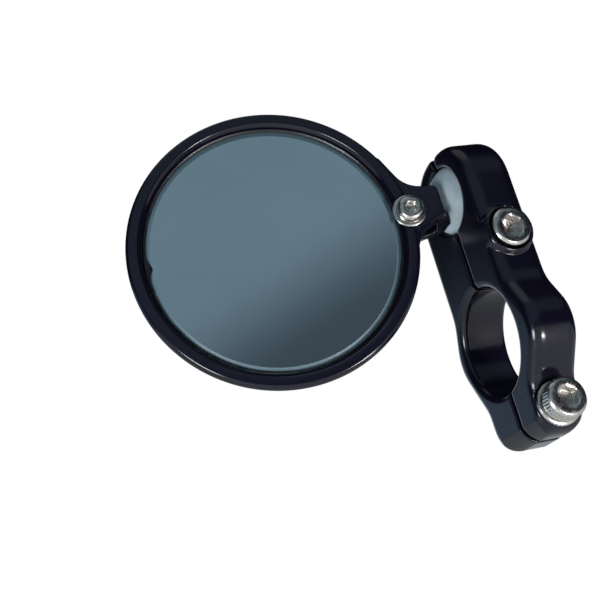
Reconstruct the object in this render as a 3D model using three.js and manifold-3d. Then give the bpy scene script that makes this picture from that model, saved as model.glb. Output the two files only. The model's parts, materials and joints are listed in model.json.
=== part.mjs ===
// Round bicycle mirror on a ball-and-socket handlebar clamp.
// Millimetres. Origin at the centre of the handlebar bore, +Y along the handlebar, +Z up the clamp,
// +X towards the rider. The mirror head hangs off the -Y face of the clamp.
import * as THREE from "three";
import { mergeVertices } from "three/addons/utils/BufferGeometryUtils.js";
import Module from "manifold-3d";

const wasm = await Module();
wasm.setup();

const GAP = 0.3; // running clearance between neighbouring pieces
const degrees = THREE.MathUtils.degToRad;

// Clamp
const FRONT_Y = -5;
const BACK_Y = 5.8;
const BAR_RADIUS = 11.1; // fits a 22.2 mm handlebar
const BAR_MOUTH_ROUND = 1.4;
const EDGE_ROUND = 2.2;
const BALL_HEIGHT = 32;
const BALL_RADIUS = 8.25;
const SOCKET_MOUTH_RADIUS = 6.9;
const SOCKET_MOUTH_ROUND = 1;
const SLOT_WIDTH = 1.2;
const SLOT_CENTRE_X = 1.4; // at the height of the bar
const SLOT_SLOPE = -0.04; // X per mm of height
const TAB_END_HEIGHT = -17.3;
const TAB_END_RADIUS = 5.7;

// Clamp screws: M5 socket screws with a low head, along X
const CAP = { head: 4.25, tall: 3.5, shank: 2.5, socket: 2, socketDeep: 2.2, clearance: 2.8 };
const UPPER_SCREW = { z: 19.4, headTop: 14.3, length: 20, recess: 4.6, underHead: 0.3 };
const LOWER_SCREW = { z: -17, headTop: 14.5, length: 16, recess: 5, underHead: 1.4 };
const WASHER = { radius: 4.7, thick: 0.8 };
const BOSS_RADIUS = 5.4;
const BOSS_FACE_X = 13.2;
const INSERT = { radius: 3.4, length: 6.5 };

// Pose of the mirror: yaw about Z, then tilt of the stud about its own X
const YAW = degrees(12);
const TILT = degrees(12.3);

// Stud, measured along its axis from the ball centre (local -Y); heights are along the mirror normal
const STUD = {
  halfHeight: 4.45,
  front: 4.6,
  corner: 2.4,
  reach: 5,
  shank: 2.7,
  blockEnd: 10,
  lugFront: 1.4,
  lugBack: -3.4,
};
const PIVOT_REACH = 15.5;
const EAR = { front: 7.9, back: 5, bossBack: 2.6, bossRadius: 5 };
const PIVOT = {
  hole: 1.8,
  shank: 1.5,
  head: 2.85,
  tall: 1.65,
  socket: 1,
  washer: 3.5,
  nut: 2.75,
  nutTall: 4,
};
const PIVOT_SCREW_LENGTH = 16;

// Mirror head, a body of revolution about the mirror normal
const HEAD = { reach: 44, rise: 4.4, crest: 8.5, radius: 29.8, recess: 26.4, ledge: -4.7 };
const GLASS = { radius: 26, thick: 1.6, edge: -1.5, curvature: 400 };

const blackGloss = { color: 0x101014, roughness: 0.16, metalness: 0.1 };
const steel = { color: 0xb9b4aa, roughness: 0.28, metalness: 1 };
const brass = { color: 0xb08d4a, roughness: 0.4, metalness: 1 };
const acetal = { color: 0xdfe6ea, roughness: 0.35, metalness: 0 };
const mirrorSilver = { color: 0x8fa6b0, roughness: 0.04, metalness: 1 };
const sealant = { color: 0x141618, roughness: 0.45, metalness: 0 };
const foam = { color: 0x2a2c2e, roughness: 0.95, metalness: 0 };
const nylon = { color: 0x1b1c1f, roughness: 0.55, metalness: 0 };

// ---- solids -------------------------------------------------------------------------------------

function solid(geometry) {
  const bare = new THREE.BufferGeometry();
  bare.setAttribute("position", geometry.getAttribute("position"));
  if (geometry.index) {
    bare.setIndex(geometry.index);
  }
  const merged = mergeVertices(bare, 1e-5);
  return new wasm.Manifold(
    new wasm.Mesh({
      numProp: 3,
      vertProperties: new Float32Array(merged.getAttribute("position").array),
      triVerts: new Uint32Array(merged.index.array),
    }),
  );
}

function geometryOf(body) {
  const { vertProperties, triVerts } = body.getMesh();
  const geometry = new THREE.BufferGeometry();
  geometry.setAttribute("position", new THREE.BufferAttribute(new Float32Array(vertProperties), 3));
  geometry.setIndex(new THREE.BufferAttribute(new Uint32Array(triVerts), 1));
  geometry.computeVertexNormals();
  return geometry;
}

function piece(name, body, look) {
  const mesh = new THREE.Mesh(geometryOf(body), new THREE.MeshStandardMaterial(look));
  mesh.name = name;
  return mesh;
}

// Turns a profile of [radius, height] pairs about Y, then lays that axis along X where asked.
function turned(profile, axis, segments = 40) {
  const closed = profile.map(([radius, height]) => new THREE.Vector2(radius, height));
  const onAxis = profile[0][0] === 0 && profile[profile.length - 1][0] === 0;
  if (!onAxis) {
    closed.push(closed[0].clone());
  }
  const geometry = new THREE.LatheGeometry(closed, segments);
  if (axis === "x") {
    geometry.rotateZ(-Math.PI / 2);
  }
  return solid(geometry);
}

function rod(radius, from, to, axis, segments = 28) {
  return turned([[0, from], [radius, from], [radius, to], [0, to]], axis, segments);
}

function tube(inner, outer, from, to, axis, segments = 24) {
  return turned([[inner, from], [outer, from], [outer, to], [inner, to]], axis, segments);
}

// A straight prism with a regular six-sided section, flats at the given distance from its axis, along X.
function hexPrism(flat, from, to) {
  const corner = flat / Math.cos(Math.PI / 6);
  const geometry = new THREE.CylinderGeometry(corner, corner, to - from, 6);
  geometry.translate(0, (from + to) / 2, 0);
  geometry.rotateZ(-Math.PI / 2);
  return solid(geometry);
}

// Points of a closed outline given by its corners [u, v, radius], each corner rounded by an arc.
function roundedOutline(corners, degreesPerStep = 12) {
  const points = [];
  corners.forEach(([u, v, radius], i) => {
    const corner = new THREE.Vector2(u, v);
    const before = new THREE.Vector2(...corners[(i + corners.length - 1) % corners.length].slice(0, 2));
    const after = new THREE.Vector2(...corners[(i + 1) % corners.length].slice(0, 2));
    const inward = corner.clone().sub(before).normalize();
    const outward = after.clone().sub(corner).normalize();
    const turn = Math.atan2(inward.cross(outward), inward.dot(outward));
    if (radius === 0) {
      points.push(corner);
      return;
    }
    const start = corner.clone().addScaledVector(inward, -radius * Math.tan(Math.abs(turn) / 2));
    const side = Math.sign(turn);
    const centre = new THREE.Vector2(-inward.y, inward.x).multiplyScalar(side * radius).add(start);
    const steps = Math.max(2, Math.ceil(Math.abs(turn) / degrees(degreesPerStep)));
    for (let k = 0; k <= steps; k += 1) {
      points.push(start.clone().rotateAround(centre, (turn * k) / steps));
    }
  });
  return points;
}

// Prism of an X-Z outline, running along Y between two positions, with optional rounded edges.
function slabXZ(points, from, to, round = 0) {
  const geometry = new THREE.ExtrudeGeometry(new THREE.Shape(points), {
    depth: to - from - 2 * round,
    bevelEnabled: round > 0,
    bevelThickness: round,
    bevelSize: round,
    bevelOffset: -round,
    bevelSegments: 3,
  });
  geometry.translate(0, 0, round - to);
  geometry.rotateX(Math.PI / 2);
  return solid(geometry);
}

// Prism of a Y-Z outline, running along X between two positions.
function slabYZ(points, from, to) {
  const settings = { depth: to - from, bevelEnabled: false };
  const geometry = new THREE.ExtrudeGeometry(new THREE.Shape(points), settings);
  geometry.rotateY(Math.PI / 2);
  geometry.rotateX(Math.PI / 2);
  geometry.translate(from, 0, 0);
  return solid(geometry);
}

// ---- clamp --------------------------------------------------------------------------------------

const slotX = (z) => SLOT_CENTRE_X + SLOT_SLOPE * z;

function clampOutline() {
  return roundedOutline([
    [11, 43, 10.6],
    [-14.3, 43.3, 11.3],
    [-13, 8.6, 8],
    [-16.4, -1, 10],
    [-10, -13, 4],
    [-9.4, -22.4, 6],
    [10.6, -22.4, 5.5],
    [10.8, -12.8, 4],
    [19.5, -2, 9],
    [12.5, 9, 7],
  ], 14);
}

// The tab below the bar ends in a half round about the lower screw.
function tabEnd() {
  const top = 60;
  const middle = (FRONT_Y + BACK_Y) / 2;
  const outline = [
    new THREE.Vector2(middle + TAB_END_RADIUS, top),
    new THREE.Vector2(middle - TAB_END_RADIUS, top),
  ];
  for (let step = 0; step <= 12; step += 1) {
    const angle = Math.PI * (1 + step / 12);
    const across = middle + TAB_END_RADIUS * Math.cos(angle);
    outline.push(new THREE.Vector2(across, TAB_END_HEIGHT + TAB_END_RADIUS * Math.sin(angle)));
  }
  return slabYZ(outline, -25, 25);
}

// A bore along Y whose two mouths flare with a rounded edge.
function flaredBore(radius, round, segments) {
  const profile = [[0, FRONT_Y - 1], [radius + round, FRONT_Y - 1]];
  for (const end of [-1, 1]) {
    for (let step = 0; step <= 3; step += 1) {
      const angle = (Math.PI / 6) * (end < 0 ? 3 - step : step);
      const across = radius + round * (1 - Math.cos(angle));
      const face = end < 0 ? FRONT_Y : BACK_Y;
      profile.push([across, face - end * round * (1 - Math.sin(angle))]);
    }
  }
  profile.push([radius + round, BACK_Y + 1], [0, BACK_Y + 1]);
  return turned(profile, "y", segments);
}

function slotCutter() {
  const half = SLOT_WIDTH / 2;
  const bottom = -30;
  const lip = 40.6;
  const top = 46;
  return slabXZ(roundedOutline([
    [slotX(bottom) - half, bottom, 0],
    [slotX(bottom) + half, bottom, 0],
    [slotX(lip) + half, lip + 1, 0],
    [slotX(top) + half + 0.8, top, 0],
    [slotX(top) - half - 3.4, top, 0],
    [slotX(lip) - half, lip - 1, 2],
  ]), -10, 10);
}

// Everything on one side of the slot's middle plane.
function sideOfSlot(side) {
  const far = side * 40;
  return slabXZ([
    new THREE.Vector2(slotX(-40), -40),
    new THREE.Vector2(far, -40),
    new THREE.Vector2(far, 60),
    new THREE.Vector2(slotX(60), 60),
  ], -20, 20);
}

function screwHole(screw) {
  const seat = screw.headTop - CAP.tall - screw.underHead;
  const insertFace = slotX(screw.z) - SLOT_WIDTH / 2;
  return rod(CAP.clearance, screw.headTop - CAP.tall - screw.length - 1, 30, "x")
    .add(rod(screw.recess, seat, 30, "x", 36))
    .add(rod(INSERT.radius + GAP, insertFace - INSERT.length - GAP, insertFace + 0.4, "x"))
    .translate([0, 0, screw.z]);
}

function clampBody() {
  const boss = turned([
    [0, 2],
    [BOSS_RADIUS + 1, 2],
    [BOSS_RADIUS, BOSS_FACE_X - 0.5],
    [BOSS_RADIUS - 0.4, BOSS_FACE_X],
    [0, BOSS_FACE_X],
  ], "x", 36);
  const thickness = slabXZ([[-30, -40], [30, -40], [30, 60], [-30, 60]].map((p) => new THREE.Vector2(...p)),
    FRONT_Y, BACK_Y);
  const socket = solid(new THREE.SphereGeometry(BALL_RADIUS + GAP, 28, 18)).translate([0, 0, BALL_HEIGHT]);
  return slabXZ(clampOutline(), FRONT_Y, BACK_Y, EDGE_ROUND)
    .add(boss.translate([0, 0, UPPER_SCREW.z]).intersect(thickness))
    .intersect(tabEnd())
    .subtract(flaredBore(BAR_RADIUS, BAR_MOUTH_ROUND, 48))
    .subtract(flaredBore(SOCKET_MOUTH_RADIUS, SOCKET_MOUTH_ROUND, 28).translate([0, 0, BALL_HEIGHT]))
    .subtract(socket)
    .subtract(screwHole(UPPER_SCREW))
    .subtract(screwHole(LOWER_SCREW))
    .subtract(slotCutter());
}

function capScrew(screw) {
  const under = screw.headTop - CAP.tall;
  const body = turned([[0, under - screw.length], [CAP.shank - 0.5, under - screw.length],
    [CAP.shank, under - screw.length + 0.5], [CAP.shank, under], [CAP.head, under],
    [CAP.head, screw.headTop - 0.6], [CAP.head - 0.6, screw.headTop], [0, screw.headTop]], "x", 28);
  const socket = hexPrism(CAP.socket, screw.headTop - CAP.socketDeep, screw.headTop + 1);
  return body.subtract(socket).translate([0, 0, screw.z]);
}

function capWasher(screw) {
  const under = screw.headTop - CAP.tall - GAP;
  return tube(CAP.clearance, WASHER.radius, under - WASHER.thick, under, "x", 28).translate([0, 0, screw.z]);
}

function threadInsert(screw) {
  const face = slotX(screw.z) - SLOT_WIDTH / 2 - GAP;
  const insert = tube(CAP.clearance, INSERT.radius, face - INSERT.length + GAP, face, "x", 24);
  return insert.translate([0, 0, screw.z]);
}

function clampPieces() {
  const body = clampBody();
  return [
    piece("clamp_right_jaw", body.intersect(sideOfSlot(1)), blackGloss),
    piece("clamp_left_jaw", body.intersect(sideOfSlot(-1)), blackGloss),
    piece("upper_clamp_screw", capScrew(UPPER_SCREW), steel),
    piece("lower_clamp_screw", capScrew(LOWER_SCREW), steel),
    piece("lower_screw_washer", capWasher(LOWER_SCREW), steel),
    piece("upper_thread_insert", threadInsert(UPPER_SCREW), brass),
    piece("lower_thread_insert", threadInsert(LOWER_SCREW), brass),
  ];
}

// ---- ball and stud, in a frame at the ball centre: X along the mirror normal, -Y along the stud

const BARB = { at: -3.2, radius: 3.3, long: 1.4 };

function studShank(extra) {
  const tip = -5.6 - extra;
  return [
    [0, tip],
    [STUD.shank - 0.6 + extra, tip],
    [BARB.radius + extra, BARB.at - BARB.long / 2],
    [BARB.radius + extra, BARB.at + BARB.long / 2],
    [STUD.shank + extra, BARB.at + BARB.long / 2 + 0.6],
  ];
}

// Profiles run along the stud away from the ball, so the turned body is flipped to point along -Y.
function alongStud(profile, segments) {
  return turned(profile, "y", segments).rotate([180, 0, 0]);
}

function swivelBall() {
  const bore = alongStud([...studShank(GAP), [STUD.shank + GAP, 12], [0, 12]], 24);
  return solid(new THREE.SphereGeometry(BALL_RADIUS, 28, 18)).subtract(bore);
}

// The stud is a block with two rounded front corners and a round back. Its end is hollowed to clear the ball,
// and beyond the block it thins to a lug with a half-round end about the pivot.
function ballStud() {
  const { halfHeight, front, corner, lugFront, lugBack } = STUD;
  const seat = BALL_RADIUS + GAP;
  const section = roundedOutline([
    [front, -halfHeight, corner],
    [front, halfHeight, corner],
    [-halfHeight, halfHeight, halfHeight - 0.05],
    [-halfHeight, -halfHeight, halfHeight - 0.05],
  ]);
  const clear = (from, to) => {
    const box = new THREE.BoxGeometry(to - from, 20, 20);
    box.translate((from + to) / 2, -STUD.blockEnd - 10, 0);
    return solid(box);
  };
  const beyondPivot = new THREE.BoxGeometry(40, 20, 40);
  beyondPivot.translate(0, -PIVOT_REACH - 10, 0);
  const lugEnd = solid(beyondPivot).subtract(atPivot(rod(halfHeight, -20, 20, "x", 32)));
  return slabXZ(section, -PIVOT_REACH - 5, -5)
    .intersect(alongStud([[0, 5], [STUD.reach, 5], [STUD.reach, PIVOT_REACH + 5], [0, PIVOT_REACH + 5]], 40))
    .subtract(solid(new THREE.SphereGeometry(seat, 28, 18)))
    .add(alongStud([...studShank(0), [STUD.shank, seat], [0, seat]], 24))
    .subtract(clear(lugFront, 10))
    .subtract(clear(-10, lugBack))
    .subtract(lugEnd)
    .subtract(atPivot(rod(PIVOT.hole, -10, 10, "x", 24)));
}

function atPivot(body) {
  return body.translate([0, -PIVOT_REACH, 0]);
}

function pivotScrew() {
  const under = EAR.front + 0.5 + 2 * GAP;
  const top = under + PIVOT.tall;
  const body = turned([[0, under - PIVOT_SCREW_LENGTH], [PIVOT.shank - 0.3, under - PIVOT_SCREW_LENGTH],
    [PIVOT.shank, under - PIVOT_SCREW_LENGTH + 0.3], [PIVOT.shank, under], [PIVOT.head, under],
    [PIVOT.head, under + 0.35], [PIVOT.head - 0.5, under + 1], [PIVOT.head - 1.3, top], [0, top]], "x", 24);
  return atPivot(body.subtract(hexPrism(PIVOT.socket, top - 1, top + 1)));
}

function pivotNut() {
  const face = STUD.lugBack - 0.5 - 2 * GAP;
  return atPivot(hexPrism(PIVOT.nut, face - PIVOT.nutTall, face)
    .subtract(rod(PIVOT.hole, -20, 20, "x", 24)));
}

function studPieces() {
  const pivotRing = (outer, from, to) => atPivot(tube(PIVOT.hole, outer, from, to, "x"));
  return [
    piece("ball_stud", ballStud(), blackGloss),
    piece("friction_washer", pivotRing(4, STUD.lugFront + GAP, EAR.bossBack - GAP), nylon),
    piece("pivot_washer", pivotRing(PIVOT.washer, EAR.front + GAP, EAR.front + GAP + 0.5), steel),
    piece("pivot_screw", pivotScrew(), steel),
    piece("spring_washer", pivotRing(3.2, STUD.lugBack - GAP - 0.5, STUD.lugBack - GAP), steel),
    piece("pivot_nut", pivotNut(), steel),
  ];
}

// ---- mirror head, built about its own axis (X forward from the rim crest) and moved onto the ear

function atHead(body) {
  return body.translate([HEAD.crest, -HEAD.reach, HEAD.rise]);
}

function shellProfile() {
  return [
    [0, -10.6], [12, -10.1], [21, -8.6], [25.6, -6.9], [28, -4.9],
    [29.2, -3], [HEAD.radius, -1.3], [29.5, -0.4], [28.7, 0], [26.9, -0.35], [HEAD.recess, -1.1],
    [HEAD.recess, HEAD.ledge], [19.5, HEAD.ledge], [18.8, -7], [0, -8.7],
  ];
}

// The ear is a tapered tab that reaches over the stud, with a round boss behind the pivot screw.
function ear() {
  const outline = roundedOutline([
    [-7.3, 3.1, 0.9],
    [-13.4, 5.4, 6],
    [-15.6, 13.6, 0],
    [-21, 13, 0],
    [-21, -12, 0],
    [-16.2, -6.6, 0],
    [-15.4, -4.9, 1.5],
    [-8.5, -3.4, 0.9],
  ]);
  const boss = atPivot(rod(EAR.bossRadius, EAR.bossBack, EAR.front, "x"));
  return slabYZ(outline, EAR.back, EAR.front).add(boss);
}

function mirrorHousing() {
  const inside = atHead(rod(HEAD.recess + 1, -9, 9, "x", 60));
  const behindBoss = atPivot(rod(EAR.bossRadius + GAP, -20, EAR.bossBack, "x"));
  const spotFace = atPivot(rod(PIVOT.washer + GAP, EAR.front, 20, "x"));
  return atHead(turned(shellProfile(), "x", 60))
    .add(ear().subtract(inside))
    .subtract(behindBoss)
    .subtract(spotFace)
    .subtract(atPivot(rod(PIVOT.hole, -20, 20, "x", 24)));
}

// Height of the glass front at a radius, from the rim crest.
function glassFront(radius) {
  return GLASS.edge + (GLASS.radius ** 2 - radius ** 2) / (2 * GLASS.curvature);
}

function mirrorGlass() {
  const rings = [0, 14, GLASS.radius];
  const back = rings.map((radius) => [radius, glassFront(radius) - GLASS.thick]);
  const front = rings.map((radius) => [radius, glassFront(radius)]).reverse();
  return atHead(turned([...back, ...front], "x", 60));
}

function sealantBead() {
  const low = GLASS.edge + GAP;
  return atHead(turned([[25.6, low], [26.15, low], [26.15, low + 0.5], [25.8, low + 0.35]], "x", 60));
}

function adhesiveRing() {
  return atHead(tube(20, 25.4, HEAD.ledge + GAP, GLASS.edge - GLASS.thick - GAP, "x", 36));
}

function headPieces() {
  return [
    piece("mirror_housing", mirrorHousing(), blackGloss),
    piece("mirror_glass", mirrorGlass(), mirrorSilver),
    piece("glass_sealant_bead", sealantBead(), sealant),
    piece("glass_adhesive_ring", adhesiveRing(), foam),
  ];
}

// ---- assembly -----------------------------------------------------------------------------------

const mirror = new THREE.Group();
mirror.add(...clampPieces());

const turnedAboutZ = new THREE.Group();
turnedAboutZ.position.z = BALL_HEIGHT;
turnedAboutZ.rotation.z = -YAW;
const tilted = new THREE.Group();
tilted.rotation.x = TILT;
tilted.add(piece("swivel_ball", swivelBall(), acetal));
tilted.add(...studPieces());
tilted.add(...headPieces());
turnedAboutZ.add(tilted);
mirror.add(turnedAboutZ);

export default mirror;
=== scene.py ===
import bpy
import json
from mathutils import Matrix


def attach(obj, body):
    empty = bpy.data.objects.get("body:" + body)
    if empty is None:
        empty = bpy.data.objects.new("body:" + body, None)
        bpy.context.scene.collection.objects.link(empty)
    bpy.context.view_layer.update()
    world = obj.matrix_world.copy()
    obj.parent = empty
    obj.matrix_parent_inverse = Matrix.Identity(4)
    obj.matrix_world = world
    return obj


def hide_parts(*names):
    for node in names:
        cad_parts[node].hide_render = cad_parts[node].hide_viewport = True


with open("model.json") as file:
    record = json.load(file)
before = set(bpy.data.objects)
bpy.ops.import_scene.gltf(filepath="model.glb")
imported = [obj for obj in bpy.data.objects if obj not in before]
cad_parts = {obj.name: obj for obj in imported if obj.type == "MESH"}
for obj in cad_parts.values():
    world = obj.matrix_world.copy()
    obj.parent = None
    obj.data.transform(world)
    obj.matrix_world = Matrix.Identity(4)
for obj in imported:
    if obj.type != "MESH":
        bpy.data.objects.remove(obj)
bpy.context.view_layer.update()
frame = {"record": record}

import json
import math

import bmesh
import bpy
from mathutils import Matrix, Vector, noise

MM = 0.001
JOINTS = {joint["name"]: joint for joint in frame["record"]["behaviour"]["joints"]}
BALL_CENTRE = Vector(JOINTS["mirror_tilt"]["pos_m"]) / MM
STUD_DIRECTION = Vector(JOINTS["mirror_tilt"]["axis"])
MIRROR_NORMAL = Vector(JOINTS["head_swing"]["axis"])
PIVOT = Vector(JOINTS["head_swing"]["pos_m"]) / MM

# Sizes in millimetres, as on the CAD pieces
GAP = 0.3
FRONT_Y = -5
BACK_Y = 5.8
MIDDLE_Y = (FRONT_Y + BACK_Y) / 2
EDGE_ROUND = 2.2
SIDE_CROWN = 1.25  # depth of the jaws' edge rounding along Y, for each millimetre across it
JAW_VOXEL = 0.22
STUD_VOXEL = 0.15
BAR_RADIUS = 11.1
BAR_MOUTH_ROUND = 1.4
SOCKET_MOUTH_RADIUS = 6.9
SOCKET_MOUTH_ROUND = 0.9
SLOT_HALF = 0.6
LIP_HEIGHT = 40.6
LIP_FLARE = {1: 0.8, -1: -3.4}
CLAMP_CORNERS = [  # x, z and rounding, anticlockwise from the top right
    (11, 43, 10.6), (-14.3, 43.3, 11.3), (-13, 8.6, 8), (-16.38, -1, 10), (-10, -13, 4),
    (-9.4, -22.4, 6), (10.6, -22.4, 5.5), (10.8, -12.8, 4), (19.5, -2, 9), (12.5, 9, 7),
]
TAB_END_HEIGHT = -17.3
TAB_END_RADIUS = 5.7
CAP_HEAD_RADIUS = 4.25
CAP_HEAD_TALL = 3.5
BOSS_RADIUS = 5.4
BOSS_FACE = 13.2
UPPER_SCREW = {"z": 19.4, "top": 14.3, "length": 20, "recess": 4.6, "under_head": 0.3}
LOWER_SCREW = {"z": -17, "top": 14.5, "length": 16, "recess": 5, "under_head": 1.4}
BALL_RADIUS = 8.23
STUD_HALF_HEIGHT = 4.45
STUD_FRONT = 4.6
STUD_REACH = 5.2
SHANK_RADIUS = 2.7
LUG_FRONT = 1.4
LUG_BACK = -3.4
PIVOT_REACH = (PIVOT - BALL_CENTRE).length
EAR_FRONT = 7.9
EAR_BACK = 5
EAR_BOSS_BACK = 2.6
EAR_BOSS_RADIUS = 5
PIVOT_HOLE_RADIUS = 1.8
PIVOT_WASHER_RADIUS = 3.5
PIVOT_WASHER_THICK = 0.5
HEAD_REACH = 44
HEAD_RISE = 4.4
RIM_CREST = 8.5
RECESS_RADIUS = 26.4
LEDGE = -4.7
GLASS_RADIUS = 26
GLASS_THICK = 1.6
GLASS_EDGE = -1.5
GLASS_CURVATURE = 400
GLASS_BEVEL = 1.1
BLOB_ANGLE = math.radians(166)
BLOB_SPREAD = math.radians(3)

IDENTITY = Matrix.Identity(4)


def stud_frame():
    """Origin at the ball centre, X along the mirror normal, -Y out along the stud."""
    across = -STUD_DIRECTION
    up = MIRROR_NORMAL.cross(across)
    turn = Matrix((MIRROR_NORMAL, across, up)).transposed().to_4x4()
    return Matrix.Translation(BALL_CENTRE) @ turn


STUD = stud_frame()
AT_PIVOT = STUD @ Matrix.Translation((0, -PIVOT_REACH, 0))
AT_HEAD = STUD @ Matrix.Translation((RIM_CREST, -HEAD_REACH, HEAD_RISE))


# ---- mesh building -------------------------------------------------------------------------------


def make_object(name, points, faces, place=IDENTITY, sharp=35):
    mesh = bpy.data.meshes.new(name)
    mesh.from_pydata([(place @ Vector(point)) * MM for point in points], [], faces)
    tidy = bmesh.new()
    tidy.from_mesh(mesh)
    bmesh.ops.remove_doubles(tidy, verts=tidy.verts, dist=1e-7)
    bmesh.ops.recalc_face_normals(tidy, faces=tidy.faces)
    tidy.to_mesh(mesh)
    tidy.free()
    piece = bpy.data.objects.new(name, mesh)
    bpy.context.scene.collection.objects.link(piece)
    shade(piece, sharp)
    return piece


def shade(piece, sharp):
    piece.data.shade_smooth()
    piece.data.set_sharp_from_angle(angle=math.radians(sharp))


def skin(rings):
    """Points and faces of a closed skin over rings of points. A ring of one point is a pole."""
    points = []
    starts = []
    for ring in rings:
        starts.append(len(points))
        points.extend(ring)
    faces = []
    for (first, start), (second, following) in zip(zip(rings, starts), zip(rings[1:], starts[1:])):
        count = max(len(first), len(second))
        for i in range(count):
            j = (i + 1) % count
            a, b = (start, start) if len(first) == 1 else (start + i, start + j)
            d, c = (following, following) if len(second) == 1 else (following + i, following + j)
            faces.append(tuple(dict.fromkeys((a, b, c, d))))
    return points, faces


def spun(name, profile, place=IDENTITY, count=96, closed=False, sharp=35):
    """A body turned about local X. profile lists (x, radius); a radius may be a function of the angle."""
    rings = []
    for x, radius in profile + profile[:1] * closed:
        if radius == 0:
            rings.append([(x, 0, 0)])
            continue
        reach = radius if callable(radius) else lambda angle, fixed=radius: fixed
        ring = []
        for step in range(count):
            angle = math.tau * step / count
            ring.append((x, reach(angle) * math.cos(angle), reach(angle) * math.sin(angle)))
        rings.append(ring)
    points, faces = skin(rings)
    return make_object(name, points, faces, place, sharp)


def rounded(corners, closed=False, step=10):
    """Corners (u, v, radius) joined by straight lines, each corner rounded by an arc."""
    path = []
    for i, (u, v, radius) in enumerate(corners):
        corner = Vector((u, v))
        at_end = not closed and i in (0, len(corners) - 1)
        if radius == 0 or at_end:
            path.append(corner)
            continue
        before = (corner - Vector(corners[i - 1][:2])).normalized()
        after = (Vector(corners[(i + 1) % len(corners)][:2]) - corner).normalized()
        turn = math.atan2(before.x * after.y - before.y * after.x, before.dot(after))
        start = corner - before * radius * math.tan(abs(turn) / 2)
        centre = start + Vector((-before.y, before.x)) * math.copysign(radius, turn)
        steps = max(2, math.ceil(abs(math.degrees(turn)) / step))
        for k in range(steps + 1):
            part = turn * k / steps
            spin = Matrix.Rotation(part, 2)
            path.append(centre + spin @ (start - centre))
    return path


def arc(centre, radius, start, end, step=4):
    steps = max(2, math.ceil(abs(end - start) / step))
    angles = [math.radians(start + (end - start) * k / steps) for k in range(steps + 1)]
    return [Vector((centre[0] + radius * math.cos(a), centre[1] + radius * math.sin(a))) for a in angles]


def resampled(path, spacing):
    """The same closed path with points at an even spacing."""
    loop = path + path[:1]
    lengths = [(b - a).length for a, b in zip(loop, loop[1:])]
    count = round(sum(lengths) / spacing)
    pace = sum(lengths) / count
    out = []
    edge = 0
    walked = 0
    for k in range(count):
        target = k * pace
        while walked + lengths[edge] < target:
            walked += lengths[edge]
            edge += 1
        out.append(loop[edge].lerp(loop[edge + 1], (target - walked) / max(lengths[edge], 1e-9)))
    return out


def relaxed(values, rounds):
    """A closed list of numbers or vectors, averaged with its neighbours."""
    for _ in range(rounds):
        count = len(values)
        values = [(values[i - 1] + values[i] * 2 + values[(i + 1) % count]) / 4 for i in range(count)]
    return values


def loft(name, outline, low, high, edge_radius, to_space, place=IDENTITY, soften=3, crown=1):
    """A plate of an outline between two depths, with rounded edges that tighten where the outline turns."""
    path = relaxed(resampled(outline, 0.4), soften)
    count = len(path)
    area = sum(path[i - 1].x * path[i].y - path[i - 1].y * path[i].x for i in range(count))
    side = 1 if area > 0 else -1
    normals = []
    limits = []
    for i in range(count):
        along = path[(i + 1) % count] - path[i - 1]
        normals.append(Vector((along.y, -along.x)).normalized() * side)
        before = path[i] - path[i - 1]
        after = path[(i + 1) % count] - path[i]
        turn = side * math.atan2(before.x * after.y - before.y * after.x, before.dot(after))
        limits.append(0.75 * before.length / turn if turn > 0.02 else 10)
    radii = relaxed([min(edge_radius, limit) for limit in limits], 10)
    steps = 6
    rings = []
    for end in (-1, 1):
        for k in range(steps + 1):
            angle = math.pi / 2 * (k if end < 0 else steps - k) / steps
            ring = []
            for point, normal, radius in zip(path, normals, radii):
                flat = point - normal * radius * (1 - math.sin(angle))
                drop = radius * crown * (1 - math.cos(angle))
                depth = low + drop if end < 0 else high - drop
                ring.append(to_space(flat, depth))
            rings.append(ring)
    points, faces = skin(rings)
    last = len(points) - count
    faces.append(tuple(range(count)))
    faces.append(tuple(range(last, last + count)))
    return make_object(name, points, faces, place, 30)


def combine(piece, other, operation, sharp=30):
    """Cuts or joins another body into a piece, and removes the other."""
    change = piece.modifiers.new(operation, "BOOLEAN")
    change.operation = operation
    change.solver = "MANIFOLD"
    change.object = other
    depsgraph = bpy.context.evaluated_depsgraph_get()
    result = bpy.data.meshes.new_from_object(piece.evaluated_get(depsgraph))
    piece.modifiers.clear()
    piece.data = result
    bpy.data.objects.remove(other)
    shade(piece, sharp)


def softened(piece, width, segments):
    """Breaks the sharp edges of a piece."""
    bevel = piece.modifiers.new("broken_edges", "BEVEL")
    bevel.width = width * MM
    bevel.segments = segments
    bevel.limit_method = "ANGLE"
    bevel.angle_limit = math.radians(40)
    bevel.use_clamp_overlap = True
    bevel.harden_normals = True


def rod(name, radius, low, high, place=IDENTITY, count=64):
    return spun(name, [(low, 0), (low, radius), (high, radius), (high, 0)], place, count)


def hexagon(flat):
    """Reach of a regular six-sided outline at an angle."""
    return lambda angle: flat / math.cos((angle + math.pi / 6) % (math.pi / 3) - math.pi / 6)


def fitted(piece, body, look, node):
    """Puts a finished piece on its body, in place of its CAD node, with its material."""
    piece.data.materials.clear()
    piece.data.materials.append(look)
    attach(piece, body)
    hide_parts(node)


# ---- materials -----------------------------------------------------------------------------------


def new_material(name, **settings):
    material = bpy.data.materials.new(name)
    material.use_nodes = True
    shader = material.node_tree.nodes["Principled BSDF"]
    for key, value in settings.items():
        shader.inputs[key.replace("_", " ")].default_value = value
    return material, material.node_tree, shader


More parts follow.
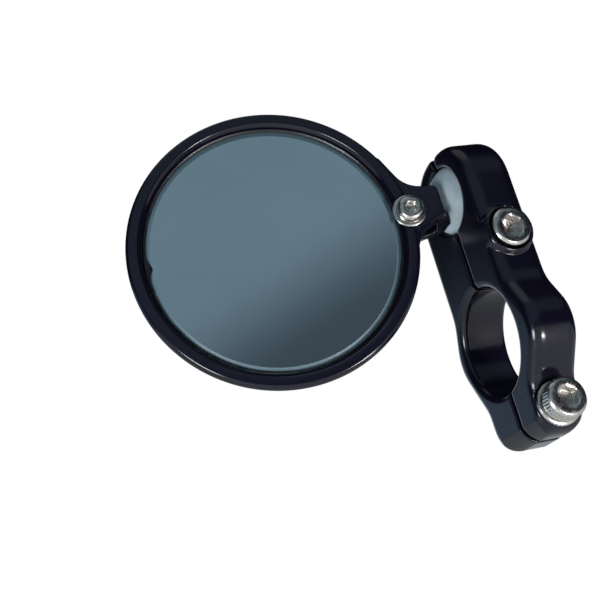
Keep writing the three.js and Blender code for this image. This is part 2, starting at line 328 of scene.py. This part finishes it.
def add_noise(tree, scale, detail=4, stretch=(1, 1, 1)):
    """Noise in object space, per millimetre."""
    place = tree.nodes.new("ShaderNodeTexCoord")
    mapping = tree.nodes.new("ShaderNodeMapping")
    mapping.inputs["Scale"].default_value = [1000 * part for part in stretch]
    texture = tree.nodes.new("ShaderNodeTexNoise")
    texture.inputs["Scale"].default_value = scale
    texture.inputs["Detail"].default_value = detail
    tree.links.new(place.outputs["Object"], mapping.inputs["Vector"])
    tree.links.new(mapping.outputs["Vector"], texture.inputs["Vector"])
    return texture.outputs["Fac"]


def add_ramp(tree, source, stops):
    ramp = tree.nodes.new("ShaderNodeValToRGB")
    elements = ramp.color_ramp.elements
    for place, colour in stops[2:]:
        elements.new(place).color = colour
    for element, (place, colour) in zip(list(elements), sorted(stops)):
        element.position = place
        element.color = colour
    tree.links.new(source, ramp.inputs["Fac"])
    return ramp.outputs["Color"]


def add_range(tree, source, low, high):
    span = tree.nodes.new("ShaderNodeMapRange")
    span.inputs["To Min"].default_value = low
    span.inputs["To Max"].default_value = high
    tree.links.new(source, span.inputs["Value"])
    return span.outputs["Result"]


def add_bump(tree, shader, source, strength, distance):
    bump = tree.nodes.new("ShaderNodeBump")
    bump.inputs["Strength"].default_value = strength
    bump.inputs["Distance"].default_value = distance * MM
    tree.links.new(source, bump.inputs["Height"])
    tree.links.new(bump.outputs["Normal"], shader.inputs["Normal"])


def gloss_black(name, tint, roughness):
    material, tree, shader = new_material(name, IOR=1.5)
    blotches = add_noise(tree, 0.12, 3)
    darker = [part * 0.75 for part in tint] + [1]
    tree.links.new(add_ramp(tree, blotches, [(0.3, darker), (0.7, [*tint, 1])]), shader.inputs["Base Color"])
    polish = add_range(tree, add_noise(tree, 0.5, 6), roughness * 0.8, roughness * 1.25)
    tree.links.new(polish, shader.inputs["Roughness"])
    add_bump(tree, shader, add_noise(tree, 0.8, 3), 0.06, 0.05)
    return material


def stainless():
    material, tree, shader = new_material("stainless", Metallic=1.0)
    turning = add_noise(tree, 1.4, 6, (2.4, 1, 1))
    tree.links.new(add_ramp(tree, turning, [(0.25, (0.46, 0.43, 0.39, 1)), (0.75, (0.78, 0.76, 0.72, 1))]),
                   shader.inputs["Base Color"])
    tree.links.new(add_range(tree, add_noise(tree, 3, 4), 0.14, 0.34), shader.inputs["Roughness"])
    add_bump(tree, shader, turning, 0.12, 0.04)
    return material


def brass():
    material, tree, shader = new_material("brass", Metallic=1.0)
    stain = add_noise(tree, 0.8, 5)
    tree.links.new(add_ramp(tree, stain, [(0.3, (0.42, 0.27, 0.09, 1)), (0.75, (0.72, 0.52, 0.22, 1))]),
                   shader.inputs["Base Color"])
    tree.links.new(add_range(tree, stain, 0.28, 0.5), shader.inputs["Roughness"])
    add_bump(tree, shader, add_noise(tree, 4, 3, (4, 1, 1)), 0.2, 0.03)
    return material


def white_plastic():
    material, tree, shader = new_material("white_plastic", Subsurface_Weight=0.25, IOR=1.48)
    shader.inputs["Subsurface Radius"].default_value = (0.0012, 0.0014, 0.0016)
    cloud = add_noise(tree, 0.25, 4)
    tree.links.new(add_ramp(tree, cloud, [(0.3, (0.55, 0.66, 0.72, 1)), (0.7, (0.66, 0.76, 0.81, 1))]),
                   shader.inputs["Base Color"])
    tree.links.new(add_range(tree, add_noise(tree, 2, 4), 0.34, 0.5), shader.inputs["Roughness"])
    add_bump(tree, shader, add_noise(tree, 3, 3), 0.08, 0.03)
    return material


def matt_black(name, grain):
    material, tree, shader = new_material(name)
    speckle = add_noise(tree, grain, 6)
    tree.links.new(add_ramp(tree, speckle, [(0.3, (0.012, 0.012, 0.014, 1)), (0.8, (0.05, 0.05, 0.052, 1))]),
                   shader.inputs["Base Color"])
    tree.links.new(add_range(tree, speckle, 0.5, 0.85), shader.inputs["Roughness"])
    add_bump(tree, shader, speckle, 0.3, 0.08)
    return material


def sealant_black():
    material, tree, shader = new_material("sealant")
    streak = add_noise(tree, 0.6, 4)
    colours = [(0.3, (0.006, 0.007, 0.009, 1)), (0.7, (0.016, 0.018, 0.022, 1))]
    tree.links.new(add_ramp(tree, streak, colours), shader.inputs["Base Color"])
    tree.links.new(add_range(tree, streak, 0.22, 0.4), shader.inputs["Roughness"])
    add_bump(tree, shader, add_noise(tree, 1.2, 3), 0.35, 0.1)
    return material


def silvered_glass():
    finish = {"Metallic": 1.0, "Coat_Weight": 1.0, "Coat_Roughness": 0.02}
    material, tree, shader = new_material("silvered_glass", **finish)
    haze = add_noise(tree, 0.05, 3)
    tree.links.new(add_ramp(tree, haze, [(0.3, (0.60, 0.70, 0.74, 1)), (0.7, (0.66, 0.75, 0.79, 1))]),
                   shader.inputs["Base Color"])
    tree.links.new(add_range(tree, add_noise(tree, 0.9, 8), 0.02, 0.05), shader.inputs["Roughness"])
    return material


def ground_glass():
    material, tree, shader = new_material("ground_edge", Coat_Weight=0.3, Coat_Roughness=0.3)
    grain = add_noise(tree, 3, 5)
    tree.links.new(add_ramp(tree, grain, [(0.3, (0.12, 0.20, 0.24, 1)), (0.7, (0.15, 0.25, 0.30, 1))]),
                   shader.inputs["Base Color"])
    tree.links.new(add_range(tree, grain, 0.4, 0.55), shader.inputs["Roughness"])
    add_bump(tree, shader, grain, 0.15, 0.03)
    return material


BLACK_TINT = (0.0078, 0.0066, 0.0185)
LOOKS = {
    "ground_edge": ground_glass(),
    "jaw_black": gloss_black("jaw_black", BLACK_TINT, 0.17),
    "stud_black": gloss_black("stud_black", BLACK_TINT, 0.2),
    "housing_black": gloss_black("housing_black", BLACK_TINT, 0.13),
    "stainless": stainless(),
    "brass": brass(),
    "white_acetal": white_plastic(),
    "black_nylon": matt_black("black_nylon", 3),
    "mirror_glass": silvered_glass(),
    "sealant": sealant_black(),
    "foam": matt_black("foam", 6),
}


# ---- clamp ---------------------------------------------------------------------------------------


def slot_x(z):
    """X of the parting slot's middle at a height. The slot leans a little to the left at its top."""
    return 1.4 - 0.04 * z


def prism(name, outline, low, high, to_space, place=IDENTITY):
    """A straight prism of an outline between two depths."""
    points, faces = skin([[to_space(u, v, depth) for u, v in outline] for depth in (low, high)])
    count = len(outline)
    faces += [tuple(range(count)), tuple(range(count, 2 * count))]
    return make_object(name, points, faces, place)


def along_x(u, v, depth):
    return (depth, u, v)


def along_y(u, v, depth):
    return (u, depth, v)


def flared_bore(radius, mouth_round):
    """Profile of a bore along Y whose two mouths flare with a rounded edge."""
    profile = [(FRONT_Y - 3, 0), (FRONT_Y - 3, radius + mouth_round)]
    for end, face in ((-1, FRONT_Y), (1, BACK_Y)):
        for step in range(9):
            angle = math.pi / 2 * (8 - step if end < 0 else step) / 8
            profile.append((face - end * mouth_round * (1 - math.sin(angle)),
                            radius + mouth_round * (1 - math.cos(angle))))
    profile += [(BACK_Y + 3, radius + mouth_round), (BACK_Y + 3, 0)]
    return profile


def tab_end_cutter():
    """Everything below the half round that ends the tab."""
    curve = arc((MIDDLE_Y, TAB_END_HEIGHT), TAB_END_RADIUS, 180, 360)
    outline = [(-12, TAB_END_HEIGHT), *curve, (12, TAB_END_HEIGHT), (12, -40), (-12, -40)]
    return prism("tab_end", outline, -30, 30, along_x)


def beyond_slot_cutter(side):
    """Everything on the far side of the slot from one jaw, with the lip that flares open above the ball."""
    edge = side * SLOT_HALF
    outline = rounded([
        (slot_x(-30) + edge, -30, 0),
        (slot_x(LIP_HEIGHT) + edge, LIP_HEIGHT + side, 2),
        (slot_x(46) + edge + LIP_FLARE[side], 46, 0),
        (-side * 40, 46, 0),
        (-side * 40, -30, 0),
    ], True)
    return prism("beyond_slot", outline, -20, 20, along_y)


def ball_seat():
    """Profile of the round hollow that clears the ball."""
    seat = BALL_RADIUS + GAP
    steps = 40
    middle = [math.pi * step / steps for step in range(1, steps)]
    curve = [(-seat * math.cos(angle), seat * math.sin(angle)) for angle in middle]
    return [(-seat, 0), *curve, (seat, 0)]


def cut_clamp(jaw):
    turn = Matrix.Rotation(math.pi / 2, 4, "Z")
    at_ball = Matrix.Translation(BALL_CENTRE)
    combine(jaw, tab_end_cutter(), "DIFFERENCE")
    bore = flared_bore(BAR_RADIUS, BAR_MOUTH_ROUND)
    combine(jaw, spun("bore", bore, turn, 192), "DIFFERENCE")
    mouth = flared_bore(SOCKET_MOUTH_RADIUS, SOCKET_MOUTH_ROUND)
    combine(jaw, spun("mouth", mouth, at_ball @ turn, 128), "DIFFERENCE")
    combine(jaw, spun("socket", ball_seat(), at_ball, 80), "DIFFERENCE")
    for screw in (UPPER_SCREW, LOWER_SCREW):
        combine(jaw, screw_bore(screw), "DIFFERENCE")


def screw_bore(screw):
    """Clearance hole, thread insert bore and head recess of a clamp screw, as one stepped body."""
    under = screw["top"] - CAP_HEAD_TALL
    low = under - screw["length"] - 1
    seat = under - screw["under_head"]
    insert_face = slot_x(screw["z"]) - SLOT_HALF
    insert_low = insert_face - 6.8
    insert_high = insert_face + 0.4
    profile = [(low, 0), (low, 2.8), (insert_low, 2.8), (insert_low, 3.7)]
    profile += [(insert_high, 3.7), (insert_high, 2.8), (seat, 2.8)]
    profile += [(seat, screw["recess"]), (30, screw["recess"]), (30, 0)]
    return spun("screw_bore", profile, Matrix.Translation((0, 0, screw["z"])), 96)


def upper_boss():
    """The round boss under the upper screw's head, no thicker than the clamp."""
    profile = [(2, 0), (2, BOSS_RADIUS + 1), (BOSS_FACE - 0.5, BOSS_RADIUS)]
    profile += [(BOSS_FACE, BOSS_RADIUS - 0.5), (BOSS_FACE, 0)]
    boss = spun("boss", profile, Matrix.Translation((0, 0, UPPER_SCREW["z"])), 96)
    box = [(-20, -40), (20, -40), (20, 40), (-20, 40)]
    combine(boss, prism("thickness", box, FRONT_Y + 0.01, BACK_Y - 0.01, along_y), "INTERSECT")
    return boss


def melted(piece, voxel, rounds):
    """Rebuilds a cut body with an even skin and softens every edge, as paint over metal does."""
    remesh = piece.modifiers.new("even_skin", "REMESH")
    remesh.mode = "VOXEL"
    remesh.voxel_size = voxel * MM
    smooth = piece.modifiers.new("soft_edges", "SMOOTH")
    smooth.factor = 0.5
    smooth.iterations = rounds
    depsgraph = bpy.context.evaluated_depsgraph_get()
    piece.data = bpy.data.meshes.new_from_object(piece.evaluated_get(depsgraph))
    piece.modifiers.clear()
    piece.data.shade_smooth()


def build_jaw(name, side):
    outline = rounded(CLAMP_CORNERS, True, step=5)
    jaw = loft(name, outline, FRONT_Y, BACK_Y, EDGE_ROUND, lambda p, depth: (p.x, depth, p.y),
               crown=SIDE_CROWN)
    combine(jaw, upper_boss(), "UNION")
    cut_clamp(jaw)
    combine(jaw, beyond_slot_cutter(side), "DIFFERENCE")
    melted(jaw, JAW_VOXEL, 4)
    fitted(jaw, "clamp", LOOKS["jaw_black"], name)


def knurl(radius, teeth=40, deep=0.2):
    return lambda angle: radius - deep * (0.5 - 0.5 * math.cos(teeth * angle))


def build_cap_screw(name, screw):
    top = screw["top"]
    under = top - CAP_HEAD_TALL
    end = under - screw["length"]
    pitch = 0.8
    turns = int((screw["length"] - 1) / pitch)
    profile = [(end, 0), (end, 1.9)]
    for turn in range(turns):
        profile += [(end + 0.5 + pitch * turn, 2.48), (end + 0.5 + pitch * (turn + 0.5), 2.08)]
    profile += [(under - 0.4, 2.48), (under, 2.5), (under, 3.95), (under + 0.25, CAP_HEAD_RADIUS - 0.05)]
    profile += [(under + 0.6, CAP_HEAD_RADIUS - 0.05), (under + 0.75, knurl(CAP_HEAD_RADIUS))]
    profile += [(top - 0.95, knurl(CAP_HEAD_RADIUS)), (top - 0.75, CAP_HEAD_RADIUS - 0.08)]
    profile += [(top - 0.5, CAP_HEAD_RADIUS - 0.1), (top - 0.12, CAP_HEAD_RADIUS - 0.42)]
    profile += [(top, CAP_HEAD_RADIUS - 0.7), (top, 2.55)]
    profile += [(top - 0.2, hexagon(2.05)), (top - 2.1, hexagon(2)), (top - 2.6, 0)]
    place = Matrix.Translation((0, 0, screw["z"]))
    piece = spun(name, profile, place, 240, sharp=28)
    fitted(piece, "clamp", LOOKS["stainless"], name)


def ring_profile(inner, outer, low, high, edge):
    """Section of a flat ring with its four corners broken."""
    return [(low, inner + edge), (low, outer - edge), (low + edge, outer), (high - edge, outer),
            (high, outer - edge), (high, inner + edge), (high - edge, inner), (low + edge, inner)]


def build_lower_washer():
    high = LOWER_SCREW["top"] - CAP_HEAD_TALL - GAP
    profile = ring_profile(2.8, 4.7, high - 0.8, high, 0.12)
    place = Matrix.Translation((0, 0, LOWER_SCREW["z"]))
    piece = spun("lower_screw_washer", profile, place, 96, closed=True, sharp=50)
    fitted(piece, "clamp", LOOKS["stainless"], "lower_screw_washer")


def build_insert(name, screw):
    high = slot_x(screw["z"]) - SLOT_HALF - GAP
    low = high - 6.2
    grip = knurl(3.4, 30, 0.3)
    profile = [(low, 2.85), (low, 3.0), (low + 0.4, grip), (low + 2.7, grip), (low + 2.8, 3.0)]
    profile += [(low + 3.4, 3.0), (low + 3.5, grip), (high - 0.4, grip), (high, 3.1), (high, 2.85)]
    place = Matrix.Translation((0, 0, screw["z"]))
    piece = spun(name, profile, place, 180, closed=True, sharp=28)
    fitted(piece, "clamp", LOOKS["brass"], name)


def build_clamp():
    build_jaw("clamp_right_jaw", 1)
    build_jaw("clamp_left_jaw", -1)
    build_cap_screw("upper_clamp_screw", UPPER_SCREW)
    build_cap_screw("lower_clamp_screw", LOWER_SCREW)
    build_lower_washer()
    build_insert("upper_thread_insert", UPPER_SCREW)
    build_insert("lower_thread_insert", LOWER_SCREW)


# ---- ball and stud -------------------------------------------------------------------------------

ALONG_STUD = STUD @ Matrix.Rotation(-math.pi / 2, 4, "Z")  # local X runs out along the stud


def build_ball():
    bore = SHANK_RADIUS + GAP
    mouth = math.sqrt(BALL_RADIUS ** 2 - (bore + 0.4) ** 2)
    start = math.acos(mouth / BALL_RADIUS)
    profile = []
    for k in range(73):
        angle = start + (math.pi - start) * k / 72
        profile.append((BALL_RADIUS * math.cos(angle), BALL_RADIUS * math.sin(angle) if k < 72 else 0))
    profile = profile[::-1]
    profile += [(mouth - 0.4, bore), (-1.5, bore), (-2.2, bore + 0.6), (-4, bore + 0.6)]
    profile += [(-5.9, bore - 0.6), (-6, 0)]
    piece = spun("swivel_ball", profile, ALONG_STUD, 128, sharp=40)
    fitted(piece, "ball", LOOKS["white_acetal"], "swivel_ball")


def build_stud():
    section = rounded([
        (STUD_FRONT, -STUD_HALF_HEIGHT, 2.4),
        (STUD_FRONT, STUD_HALF_HEIGHT, 2.4),
        (-STUD_HALF_HEIGHT, STUD_HALF_HEIGHT, STUD_HALF_HEIGHT - 0.05),
        (-STUD_HALF_HEIGHT, -STUD_HALF_HEIGHT, STUD_HALF_HEIGHT - 0.05),
    ], True, step=6)
    stud = prism("ball_stud", [tuple(point) for point in section], -PIVOT_REACH - 5, -5, along_y, STUD)
    round_trim = [(5, 0), (5, STUD_REACH), (PIVOT_REACH + 5, STUD_REACH), (PIVOT_REACH + 5, 0)]
    combine(stud, spun("round_trim", round_trim, ALONG_STUD, 96), "INTERSECT")
    combine(stud, spun("hollow", ball_seat(), STUD, 96), "DIFFERENCE")
    root = BALL_RADIUS + GAP + 0.2
    shank = [(-5.6, 0), (-5.6, 2.1), (-3.9, 3.3), (-2.5, 3.3), (-1.9, SHANK_RADIUS), (root, SHANK_RADIUS)]
    combine(stud, spun("shank", [*shank, (root, 0)], ALONG_STUD, 64), "UNION")
    beyond_block = [(-30, -10), (-10, -10), (-10, 10), (-30, 10)]
    combine(stud, prism("front", beyond_block, LUG_FRONT, 12, along_x, STUD), "DIFFERENCE")
    combine(stud, prism("back", beyond_block, -12, LUG_BACK, along_x, STUD), "DIFFERENCE")
    combine(stud, lug_end_cutter(), "DIFFERENCE")
    combine(stud, rod("pivot_hole", PIVOT_HOLE_RADIUS, -10, 10, AT_PIVOT), "DIFFERENCE")
    melted(stud, STUD_VOXEL, 3)
    fitted(stud, "stud", LOOKS["stud_black"], "ball_stud")


def lug_end_cutter():
    """Everything beyond the half round that ends the stud's lug."""
    curve = arc((0, 0), STUD_HALF_HEIGHT, 90, 270)
    outline = [(0, 12), *curve, (0, -12), (-20, -12), (-20, 12)]
    return prism("lug_end", outline, -12, 12, along_x, AT_PIVOT)


def build_pivot_screw():
    under = EAR_FRONT + PIVOT_WASHER_THICK + 2 * GAP
    top = under + 1.65
    end = under - 16
    profile = [(end, 0), (end, 1.15)]
    for turn in range(28):
        profile += [(end + 0.4 + 0.5 * turn, 1.5), (end + 0.65 + 0.5 * turn, 1.24)]
    profile += [(under - 0.6, 1.5), (under, 1.5), (under, 2.7), (under + 0.12, 2.83), (under + 0.35, 2.85)]
    for k in range(1, 7):
        angle = math.radians(12 * k)
        profile.append((under + 0.35 + 1.3 * math.sin(angle) / math.sin(math.radians(72)),
                        1.62 + 1.23 * math.cos(angle)))
    profile += [(top, 1.45), (top - 0.2, hexagon(1.05)), (top - 1.1, hexagon(1)), (top - 1.5, 0)]
    piece = spun("pivot_screw", profile, AT_PIVOT, 96, sharp=32)
    fitted(piece, "stud", LOOKS["stainless"], "pivot_screw")


def build_flat_ring(name, outer, low, high, slot):
    profile = ring_profile(PIVOT_HOLE_RADIUS, outer, low, high, 0.1)
    piece = spun(name, profile, AT_PIVOT, 72, closed=True, sharp=50)
    fitted(piece, "stud", LOOKS[slot], name)


def build_spring_washer():
    """A split ring of square section whose two ends are pushed a little apart."""
    low = LUG_BACK - GAP - 0.5
    ends = 34
    rings = []
    for step in range(ends + 1):
        part = step / ends
        angle = math.radians(6 + 348 * part)
        lift = 0.02 + 0.1 * part
        ring = []
        for radius, height in ((1.85, 0), (3.15, 0), (3.15, 0.38), (1.85, 0.38)):
            ring.append((low + lift + height, radius * math.cos(angle), radius * math.sin(angle)))
        rings.append(ring)
    points, faces = skin(rings)
    last = len(points) - 4
    faces += [(0, 1, 2, 3), (last, last + 1, last + 2, last + 3)]
    piece = make_object("spring_washer", points, faces, AT_PIVOT, 40)
    softened(piece, 0.05, 2)
    fitted(piece, "stud", LOOKS["stainless"], "spring_washer")


def build_pivot_nut():
    """A hexagon nut with a round collar over its locking ring."""
    high = LUG_BACK - 0.5 - 2 * GAP
    low = high - 4
    flat = hexagon(2.75)
    chamfered = lambda reach: (lambda angle: min(flat(angle), reach))
    profile = [(high, 1.8), (high, 2.7), (high - 0.35, chamfered(3.12)), (high - 2.6, chamfered(3.12))]
    profile += [(high - 2.9, 2.72), (high - 3.6, 2.6), (low + 0.1, 2.4), (low, 2.2), (low, 1.8)]
    piece = spun("pivot_nut", profile, AT_PIVOT, 120, closed=True, sharp=30)
    fitted(piece, "stud", LOOKS["stainless"], "pivot_nut")


def build_stud_group():
    build_ball()
    build_stud()
    build_pivot_screw()
    washer_low = EAR_FRONT + GAP
    washer_high = washer_low + PIVOT_WASHER_THICK
    build_flat_ring("pivot_washer", PIVOT_WASHER_RADIUS, washer_low, washer_high, "stainless")
    build_flat_ring("friction_washer", 4, LUG_FRONT + GAP, EAR_BOSS_BACK - GAP, "black_nylon")
    build_spring_washer()
    build_pivot_nut()


# ---- mirror head ---------------------------------------------------------------------------------


def shell_profile():
    """Section of the housing from the middle of its back, round the rim, to the middle of its floor."""
    outside = [(-10.6, 0, 0), (-10.4, 14, 30), (-7.2, 25.4, 12), (-3.2, 28.8, 3), (-1.2, 29.72, 0.8)]
    rim = [(-0.05, 29.2, 0.8), (0, 27.2, 0.6), (-1.2, RECESS_RADIUS, 0.3)]
    inside = [(LEDGE, RECESS_RADIUS, 0.2), (LEDGE, 19.5, 0.3), (-7.2, 18.6, 1), (-8.7, 0, 0)]
    path = rounded(outside + rim + inside, step=8)
    return [(point.x, max(point.y, 0)) for point in path]


def ear_outline():
    corners = [(-7.3, 3.1, 0.9), (-13.4, 5.4, 6), (-15.6, 13.6, 0), (-21, 13, 0), (-21, -12, 0),
               (-16.2, -6.6, 0), (-15.4, -4.9, 1.5), (-8.5, -3.4, 0.9)]
    return rounded(corners, True)


def build_housing():
    housing = spun("mirror_housing", shell_profile(), AT_HEAD, 256)
    ear = loft("ear", ear_outline(), EAR_BACK, EAR_FRONT, 0.5, lambda p, depth: (depth, p.x, p.y), STUD,
               soften=1)
    boss = rod("ear_boss", EAR_BOSS_RADIUS, EAR_BOSS_BACK, EAR_FRONT - 0.02, AT_PIVOT, 72)
    combine(ear, boss, "UNION")
    combine(ear, rod("inside", RECESS_RADIUS + 1, -9, 9, AT_HEAD, 256), "DIFFERENCE")
    combine(housing, ear, "UNION")
    behind_boss = rod("behind_boss", EAR_BOSS_RADIUS + GAP, -20, EAR_BOSS_BACK, AT_PIVOT, 72)
    combine(housing, behind_boss, "DIFFERENCE")
    spot_face = rod("spot_face", PIVOT_WASHER_RADIUS + GAP, EAR_FRONT, 20, AT_PIVOT, 72)
    combine(housing, spot_face, "DIFFERENCE")
    pivot_hole = rod("pivot_hole", PIVOT_HOLE_RADIUS, -20, 20, AT_PIVOT, 48)
    combine(housing, pivot_hole, "DIFFERENCE", sharp=32)
    fitted(housing, "head", LOOKS["housing_black"], "mirror_housing")


def glass_front(radius):
    """Height of the domed glass at a distance from its middle."""
    return GLASS_EDGE + (GLASS_RADIUS ** 2 - radius ** 2) / (2 * GLASS_CURVATURE)


def build_glass():
    """The glass, with its ground edge in a material of its own."""
    polished = GLASS_RADIUS - GLASS_BEVEL
    radii = [polished * k / 12 for k in range(13)]
    back = [(glass_front(radius) - GLASS_THICK, radius) for radius in radii]
    edge = [(GLASS_EDGE - GLASS_THICK, GLASS_RADIUS), (GLASS_EDGE - 0.35, GLASS_RADIUS)]
    front = [(glass_front(radius), radius) for radius in radii]
    profile = back + edge + front[::-1]
    piece = spun("mirror_glass", profile, AT_HEAD, 192, sharp=8)
    fitted(piece, "head", LOOKS["mirror_glass"], "mirror_glass")
    piece.data.materials.append(LOOKS["ground_edge"])
    centre = AT_HEAD @ Vector((0, 0, 0)) * MM
    for face in piece.data.polygons:
        offset = face.center - centre
        across = offset - MIRROR_NORMAL * offset.dot(MIRROR_NORMAL)
        if across.length > polished * MM:
            face.material_index = 1


def bead_edge(angle):
    """Inner radius of the hand-laid sealant bead, with one blob that reaches over the glass."""
    wander = noise.noise(Vector((3 * math.cos(angle), 3 * math.sin(angle), 4.2)))
    ripple = noise.noise(Vector((14 * math.cos(angle), 14 * math.sin(angle), 1.3)))
    blob = math.exp(-((angle - BLOB_ANGLE) / BLOB_SPREAD) ** 2)
    return 25.66 + 0.1 * wander + 0.05 * ripple - 1.0 * blob


def build_bead():
    low = GLASS_EDGE + GAP
    profile = [
        (low, lambda angle: bead_edge(angle) + 0.02),
        (low + 0.16, lambda angle: bead_edge(angle) + 0.1),
        (low + 0.32, lambda angle: bead_edge(angle) + 0.26),
        (low + 0.46, 26.12),
        (low + 0.4, 26.15),
        (low, 26.15),
    ]
    piece = spun("glass_sealant_bead", profile, AT_HEAD, 360, closed=True, sharp=50)
    fitted(piece, "head", LOOKS["sealant"], "glass_sealant_bead")


def build_adhesive_ring():
    profile = ring_profile(20, 25.4, LEDGE + GAP, GLASS_EDGE - GLASS_THICK - GAP, 0.15)
    piece = spun("glass_adhesive_ring", profile, AT_HEAD, 96, closed=True, sharp=50)
    fitted(piece, "head", LOOKS["foam"], "glass_adhesive_ring")


def build_head():
    build_housing()
    build_glass()
    build_bead()
    build_adhesive_ring()


# ---- stage ---------------------------------------------------------------------------------------

CAMERA = {"azimuth": 67.2, "elevation": -17.42, "roll": -14.95, "distance": 277, "lens": 81.06}
CAMERA_TARGET = Vector((-9.9, -38.7, 18))
FLOOR_DROP = 120
FLOOR_HALF = 900

# Patches of light round the object, which light it but aren't seen behind it. Each has a colour, and fades
# that bound it: a direction, and the cosines of the angle to it where the patch ends and where it is full.
# The first is lit in every direction.
ROOM = [
    ((0.008, 0.008, 0.016), [((0, 0, 1), -1.2, -1.1)]),
    ((0.056, 0.073, 0.086), [((1, 0, 0), 0.1, 0.6), ((0, -1, 0), -0.36, -0.20)]),
    ((0.118, 0.170, 0.194), [((1, 0, 0), 0.1, 0.6), ((0, -0.35, 0.94), 0.15, 0.33)]),
    ((0.260, 0.390, 0.520), [((0, 0, -1), -0.31, -0.20), ((-1, 0, 0), 0.2, 0.6)]),
    ((1.300, 1.400, 1.400), [((0, 0, -1), 0.10, 0.35), ((-1, 0, 0), 0.0, 0.4)]),
    ((0.850, 0.900, 0.900), [((-0.92, 0.15, 0.15), 0.86, 0.93)]),
    ((0.400, 0.400, 0.420), [((0.1, -0.1, 0.98), 0.88, 0.97)]),
]
LIGHTS = [  # name, place, diameter, watts and colour
    ("key", (127, -190, -62), 70, 0.20, (0.92, 0.97, 1.0)),
    ("low_window", (192, 50, -117), 60, 0.42, (1.0, 0.94, 0.94)),
]


def build_camera():
    azimuth = math.radians(CAMERA["azimuth"])
    elevation = math.radians(CAMERA["elevation"])
    back = Vector((math.sin(azimuth) * math.cos(elevation), -math.cos(azimuth) * math.cos(elevation),
                   math.sin(elevation)))
    turn = back.to_track_quat("Z", "Y").to_matrix() @ Matrix.Rotation(math.radians(CAMERA["roll"]), 3, "Z")
    data = bpy.data.cameras.new("camera")
    data.lens = CAMERA["lens"]
    data.sensor_width = 36
    data.clip_start = 0.01
    camera = bpy.data.objects.new("camera", data)
    place = (CAMERA_TARGET + back * CAMERA["distance"]) * MM
    camera.matrix_world = Matrix.Translation(place) @ turn.to_4x4()
    bpy.context.scene.collection.objects.link(camera)
    bpy.context.scene.camera = camera


def build_floor():
    """A pale floor. It glows a little, so that it stays pale, and adds no soft light to the object."""
    signs = ((-1, -1), (1, -1), (1, 1), (-1, 1))
    corners = [(x * FLOOR_HALF, y * FLOOR_HALF, -FLOOR_DROP) for x, y in signs]
    floor = make_object("floor", corners, [(0, 1, 2, 3)])
    material, _, shader = new_material("floor_white", Roughness=0.9, Emission_Strength=0.42)
    shader.inputs["Base Color"].default_value = (0.8, 0.8, 0.8, 1)
    shader.inputs["Emission Color"].default_value = (0.96, 0.98, 1, 1)
    floor.visible_diffuse = False
    floor.data.materials.append(material)


def build_light(name, place, size, power, colour):
    data = bpy.data.lights.new(name, "AREA")
    data.shape = "DISK"
    data.size = size * MM
    data.energy = power
    data.color = colour
    light = bpy.data.objects.new(name, data)
    target = CAMERA_TARGET * MM
    where = Vector(place) * MM
    turn = (where - target).to_track_quat("Z", "Y").to_matrix().to_4x4()
    light.matrix_world = Matrix.Translation(where) @ turn
    bpy.context.scene.collection.objects.link(light)


def add_fade(tree, direction, dark, lit):
    """0 to 1 as the cosine of the angle to a direction goes from one value to another."""
    coordinates = tree.nodes.new("ShaderNodeTexCoord")
    towards = tree.nodes.new("ShaderNodeVectorMath")
    towards.operation = "DOT_PRODUCT"
    towards.inputs[1].default_value = Vector(direction).normalized()
    tree.links.new(coordinates.outputs["Generated"], towards.inputs[0])
    fade = tree.nodes.new("ShaderNodeMapRange")
    fade.interpolation_type = "SMOOTHSTEP"
    fade.inputs["From Min"].default_value = dark
    fade.inputs["From Max"].default_value = lit
    tree.links.new(towards.outputs["Value"], fade.inputs["Value"])
    return fade.outputs["Result"]


def add_patch(tree, colour, fades):
    """A patch of light, where all its fades are lit."""
    level = add_fade(tree, *fades[0])
    for fade in fades[1:]:
        product = tree.nodes.new("ShaderNodeMath")
        product.operation = "MULTIPLY"
        tree.links.new(level, product.inputs[0])
        tree.links.new(add_fade(tree, *fade), product.inputs[1])
        level = product.outputs["Value"]
    return add_ramp(tree, level, [(0, (0, 0, 0, 1)), (1, (*colour, 1))])


def build_world():
    """White behind the object, and all round it a dark room with soft patches of light."""
    world = bpy.data.worlds.new("studio")
    world.use_nodes = True
    bpy.context.scene.world = world
    tree = world.node_tree
    tree.nodes.clear()
    room = None
    for tint, fades in ROOM:
        colour = add_patch(tree, tint, fades)
        if room is None:
            room = colour
            continue
        total = tree.nodes.new("ShaderNodeVectorMath")
        total.operation = "ADD"
        tree.links.new(room, total.inputs[0])
        tree.links.new(colour, total.inputs[1])
        room = total.outputs["Vector"]
    reflected = tree.nodes.new("ShaderNodeBackground")
    tree.links.new(room, reflected.inputs["Color"])
    white = tree.nodes.new("ShaderNodeBackground")
    white.inputs["Color"].default_value = (1, 1, 1, 1)
    path = tree.nodes.new("ShaderNodeLightPath")
    mix = tree.nodes.new("ShaderNodeMixShader")
    output = tree.nodes.new("ShaderNodeOutputWorld")
    tree.links.new(path.outputs["Is Camera Ray"], mix.inputs["Fac"])
    tree.links.new(reflected.outputs["Background"], mix.inputs[1])
    tree.links.new(white.outputs["Background"], mix.inputs[2])
    tree.links.new(mix.outputs["Shader"], output.inputs["Surface"])


def build_stage():
    build_camera()
    build_floor()
    build_world()
    for light in LIGHTS:
        build_light(*light)
    bpy.context.scene.view_settings.view_transform = "Standard"


build_clamp()
build_stud_group()
build_head()
build_stage()
